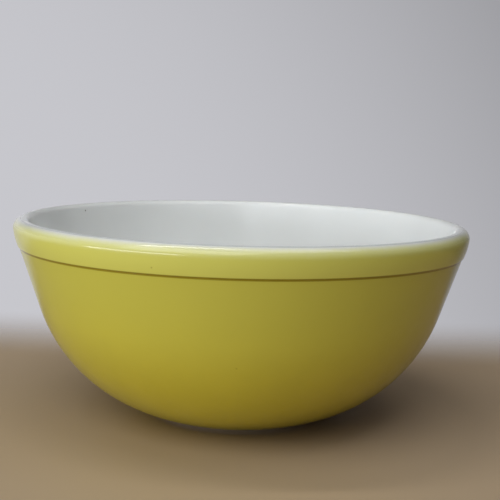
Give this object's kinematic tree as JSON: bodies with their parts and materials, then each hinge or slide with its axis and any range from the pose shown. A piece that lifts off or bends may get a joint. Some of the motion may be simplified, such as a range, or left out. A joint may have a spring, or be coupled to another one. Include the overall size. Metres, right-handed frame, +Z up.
{
  "type": "mixing bowl",
  "caption": "Round open mixing bowl of white pressed opal glass, with a thick rounded lip, a raised rim band, a lemon yellow coat fired on outside and a bare ring foot.",
  "frame": {"origin": "centre of the foot ring, in the plane it stands on", "axes": "+Z up along the bowl's axis of turning; the bowl is round, so X and Y are free"},
  "size_m": [0.265, 0.265, 0.1155],
  "materials": {
    "opal_glass": "opaque white opal glass with a fire-polished gloss",
    "yellow_enamel": "glossy fired-on glass enamel with faint orange peel and kitchen wear"
  },
  "bodies": {
    "root": {"opal_glass_bowl": "opal_glass", "enamel_coat": "yellow_enamel"}
  },
  "joints": []
}
